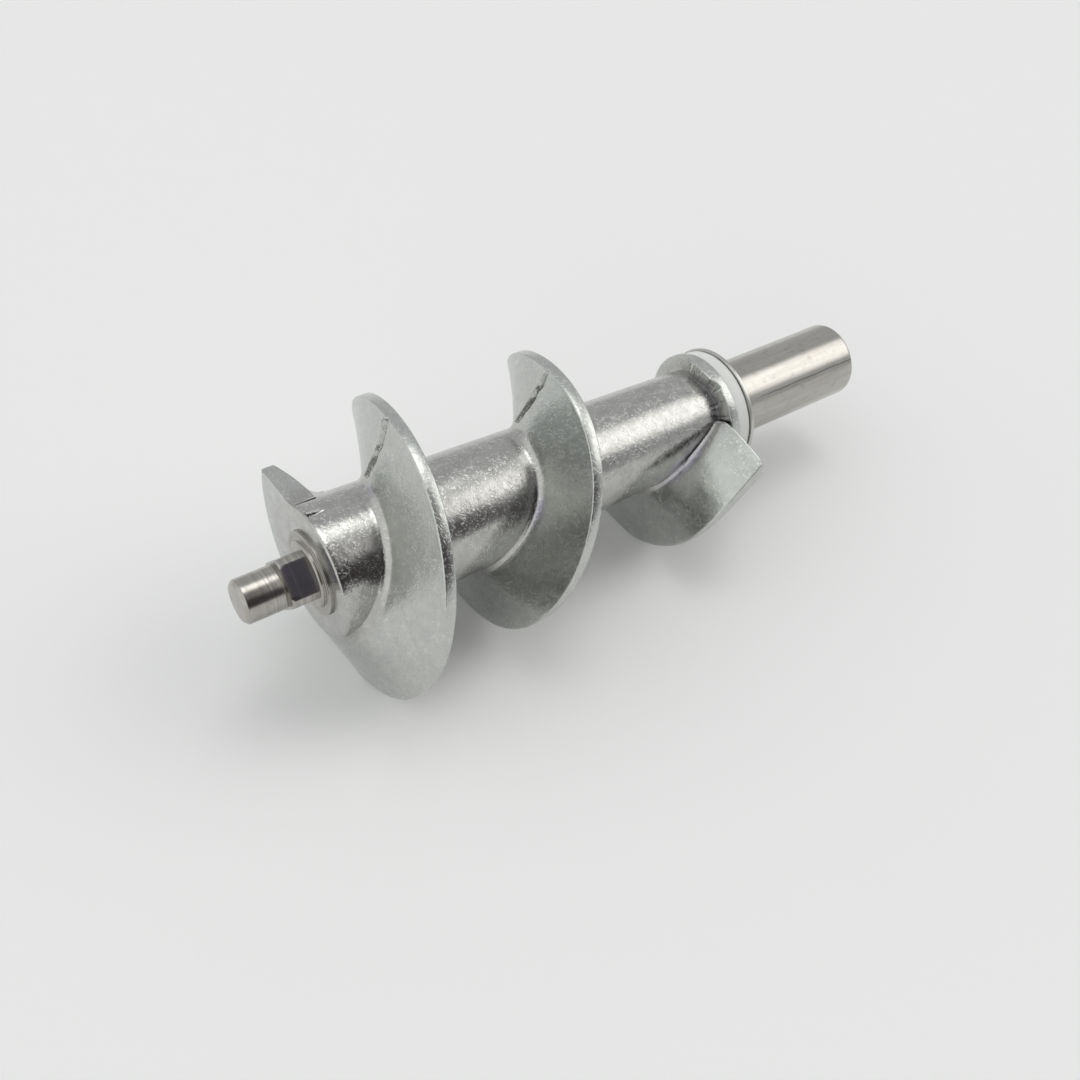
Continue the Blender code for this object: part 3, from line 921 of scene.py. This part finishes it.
def make_camera():
    forward = Vector(CAMERA_FORWARD).normalized()
    right = forward.cross(Vector(CAMERA_UP)).normalized()
    up = right.cross(forward)
    turn = Matrix((right, up, -forward)).transposed().to_4x4()
    data = bpy.data.cameras.new("photo_camera")
    data.sensor_width = 36.0
    data.lens = CAMERA_LENS
    data.clip_start = 0.01
    camera = bpy.data.objects.new("photo_camera", data)
    bpy.context.scene.collection.objects.link(camera)
    camera.matrix_world = LAY @ Matrix.Translation(Vector(CAMERA_AT) * MM) @ turn
    bpy.context.scene.camera = camera


# Studio: a pale floor under a pale world, in metres and degrees. The world is brighter ahead
# of the flight's faces, has two soft lights high up, and is dim in two patches on the near
# side, which the core mirrors as its dark band. Each patch is a colour about a direction of
# (azimuth, elevation), full within one angle and gone beyond another.
FLOOR_SIZE = 4.0
FLOOR_COLOUR = (0.93, 0.93, 0.93)
WORLD_COLOUR = (0.58, 0.59, 0.595)
WORLD_PATCHES = (
    ((-175, 30), 20, 75, (0.97, 0.99, 0.97)),
    ((-24, 37), 7, 27, (2.05, 2.03, 1.98)),
    ((24, 75), 7, 19, (2.7, 2.7, 2.65)),
    ((-68, 60), 8, 22, (0.22, 0.21, 0.215)),
    ((-86, 20), 21, 38, (0.048, 0.038, 0.043)),
)


def direction(azimuth, elevation):
    a, e = math.radians(azimuth), math.radians(elevation)
    return Vector((math.cos(a) * math.cos(e), math.sin(a) * math.cos(e), math.sin(e)))


def make_world():
    world = bpy.data.worlds.new("studio")
    bpy.context.scene.world = world
    world.use_nodes = True
    tree = world.node_tree
    place = add(tree, "ShaderNodeTexCoord").outputs["Generated"]
    colour = WORLD_COLOUR
    for towards, inside, outside, patch_colour in WORLD_PATCHES:
        along = add(tree, "ShaderNodeVectorMath", operation="DOT_PRODUCT")
        tree.links.new(place, along.inputs[0])
        along.inputs[1].default_value = direction(*towards)
        patch = add(tree, "ShaderNodeMapRange", interpolation_type="SMOOTHSTEP")
        edges = math.cos(math.radians(outside)), math.cos(math.radians(inside))
        for key, value in zip(("From Min", "From Max"), edges):
            patch.inputs[key].default_value = value
        tree.links.new(along.outputs["Value"], patch.inputs["Value"])
        colour = mixed(tree, patch.outputs["Result"], colour, patch_colour)
    tree.links.new(colour, tree.nodes["Background"].inputs["Color"])


def make_studio():
    bpy.ops.mesh.primitive_plane_add(size=FLOOR_SIZE, location=(0, 0, 0))
    floor = bpy.context.object
    floor.name = "floor"
    mat, tree, bsdf = new_material("floor_paper")
    bsdf.inputs["Base Color"].default_value = (*FLOOR_COLOUR, 1)
    bsdf.inputs["Roughness"].default_value = 0.9
    floor.data.materials.append(mat)
    make_world()


make_pieces()
make_camera()
make_studio()
bpy.context.scene.view_settings.view_transform = "Standard"
